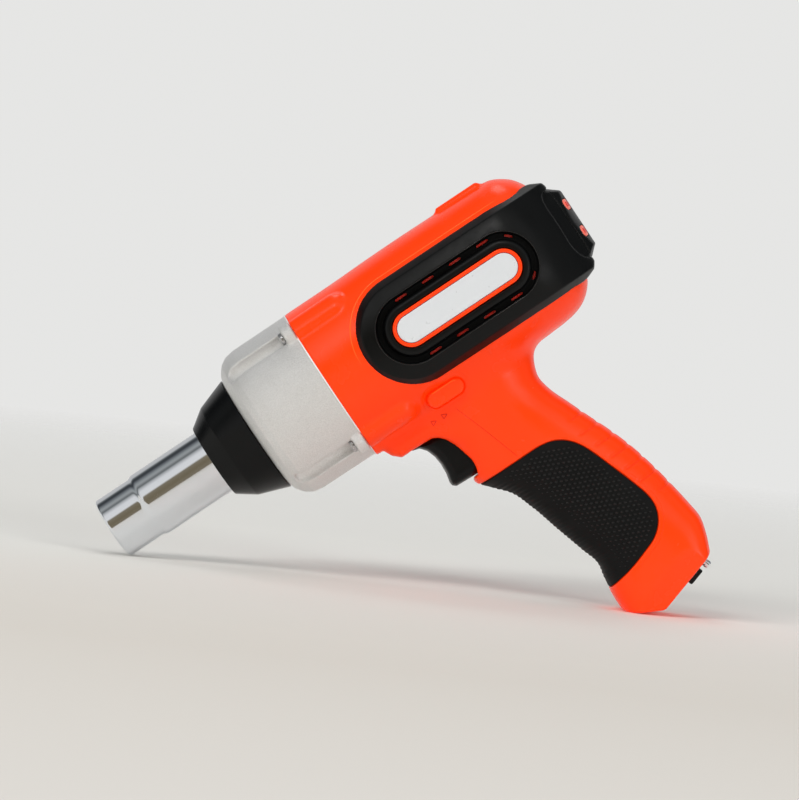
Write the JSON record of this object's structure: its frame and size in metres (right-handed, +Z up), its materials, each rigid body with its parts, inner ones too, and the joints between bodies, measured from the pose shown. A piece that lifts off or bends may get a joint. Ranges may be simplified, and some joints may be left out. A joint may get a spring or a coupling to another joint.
{
  "type": "impact wrench",
  "caption": "Pistol-shaped electric impact wrench with a die-cast gear case, a moulded two-part housing, a rubber grip and a double-ended hexagon socket.",
  "frame": {"origin": "on the resting plane, under the middle of the object's box", "axes": "+Z up; the drive axis lies in the XZ plane, its socket end towards -X and down; -Y is the tool's left side"},
  "size_m": [0.295, 0.0816, 0.2002],
  "materials": {
    "orange_plastic": "satin gloss",
    "black_plastic": "satin",
    "rubber": "matte",
    "casting": "fine grain",
    "chrome": "polished",
    "label": "silver film",
    "steel": "turned",
    "dark_steel": "black oxide",
    "bronze": "sintered",
    "copper": "copper",
    "carbon": "carbon",
    "magnet": "ferrite"
  },
  "bodies": {
    "housing": {"anvil_bush": "bronze", "brush_lower": "carbon", "brush_upper": "carbon", "case_screw_1": "steel", "case_screw_2": "steel", "case_screw_3": "steel", "case_screw_4": "steel", "front_bearing": "steel", "gear_case": "casting", "grip": "rubber", "hammer_spring": "dark_steel", "housing_left": "orange_plastic", "housing_right": "orange_plastic", "housing_screw_front": "dark_steel", "housing_screw_heel": "dark_steel", "housing_screw_neck": "dark_steel", "housing_screw_top": "dark_steel", "inlet_block": "black_plastic", "inlet_pin_left": "chrome", "inlet_pin_right": "chrome", "label_carrier_left": "orange_plastic", "label_carrier_right": "orange_plastic", "label_plate_left": "label", "label_plate_right": "label", "magnet_lower": "magnet", "magnet_upper": "magnet", "motor_can": "dark_steel", "motor_end_bell": "black_plastic", "motor_plate": "casting", "nose_ring": "black_plastic", "rear_bearing": "bronze", "ring_gear": "steel", "side_trim_left": "black_plastic", "side_trim_right": "black_plastic", "switch_body": "black_plastic", "tail_cap": "black_plastic", "trigger_spring": "steel"},
    "trigger": {"trigger": "black_plastic"},
    "selector": {"direction_selector": "orange_plastic"},
    "spindle": {"spindle": "steel", "planet_pin_1": "steel", "planet_pin_2": "steel", "planet_pin_3": "steel"},
    "hammer": {"hammer": "dark_steel"},
    "anvil": {"anvil": "dark_steel"},
    "socket": {"socket": "chrome"},
    "rotor": {"motor_shaft": "steel", "pinion": "steel", "armature_core": "steel", "winding_front": "copper", "winding_rear": "copper", "commutator": "copper", "cooling_fan": "black_plastic"},
    "planet_1": {"planet_gear_1": "steel"},
    "planet_2": {"planet_gear_2": "steel"},
    "planet_3": {"planet_gear_3": "steel"}
  },
  "joints": [
    {"name": "trigger_slide", "type": "slide", "parent": "housing", "child": "trigger", "axis": [0.7672, 0, 0.6414], "range_m": [0, 0.006], "stiffness_N_per_m": 400, "springref_m": -0.006, "deforming": ["trigger_spring"]},
    {"name": "selector_slide", "type": "slide", "parent": "housing", "child": "selector", "axis": [0, 1, 0], "range_m": [-0.003, 0.003]},
    {"name": "spindle_spin", "type": "hinge", "parent": "housing", "child": "spindle", "pos_m": [-0.03438, 0, 0.09804], "axis": [0.7672, 0, 0.6414], "continuous": true},
    {"name": "hammer_slide", "type": "slide", "parent": "spindle", "child": "hammer", "axis": [0.7672, 0, 0.6414], "range_m": [0, 0.006], "stiffness_N_per_m": 6000, "springref_m": -0.006, "deforming": ["hammer_spring"]},
    {"name": "anvil_spin", "type": "hinge", "parent": "housing", "child": "anvil", "pos_m": [-0.07044, 0, 0.06789], "axis": [0.7672, 0, 0.6414], "continuous": true},
    {"name": "socket_pull", "type": "slide", "parent": "anvil", "child": "socket", "axis": [-0.7672, 0, -0.6414], "range_m": [0, 0.05]},
    {"name": "rotor_spin", "type": "hinge", "parent": "housing", "child": "rotor", "pos_m": [0.00398, 0, 0.13011], "axis": [0.7672, 0, 0.6414], "continuous": true},
    {"name": "planet_1_spin", "type": "hinge", "parent": "spindle", "child": "planet_1", "pos_m": [-0.02901, 0.01485, 0.10253], "axis": [0.7672, 0, 0.6414], "continuous": true},
    {"name": "planet_2_spin", "type": "hinge", "parent": "spindle", "child": "planet_2", "pos_m": [-0.03726, -0.00742, 0.11239], "axis": [0.7672, 0, 0.6414], "continuous": true},
    {"name": "planet_3_spin", "type": "hinge", "parent": "spindle", "child": "planet_3", "pos_m": [-0.02076, -0.00743, 0.09266], "axis": [0.7672, 0, 0.6414], "continuous": true}
  ],
  "couplings": [
    {"joint": "anvil_spin", "follows": "spindle_spin", "ratio": 1},
    {"joint": "rotor_spin", "follows": "spindle_spin", "ratio": 6},
    {"joint": "planet_1_spin", "follows": "spindle_spin", "ratio": -2.5},
    {"joint": "planet_2_spin", "follows": "spindle_spin", "ratio": -2.5},
    {"joint": "planet_3_spin", "follows": "spindle_spin", "ratio": -2.5}
  ]
}
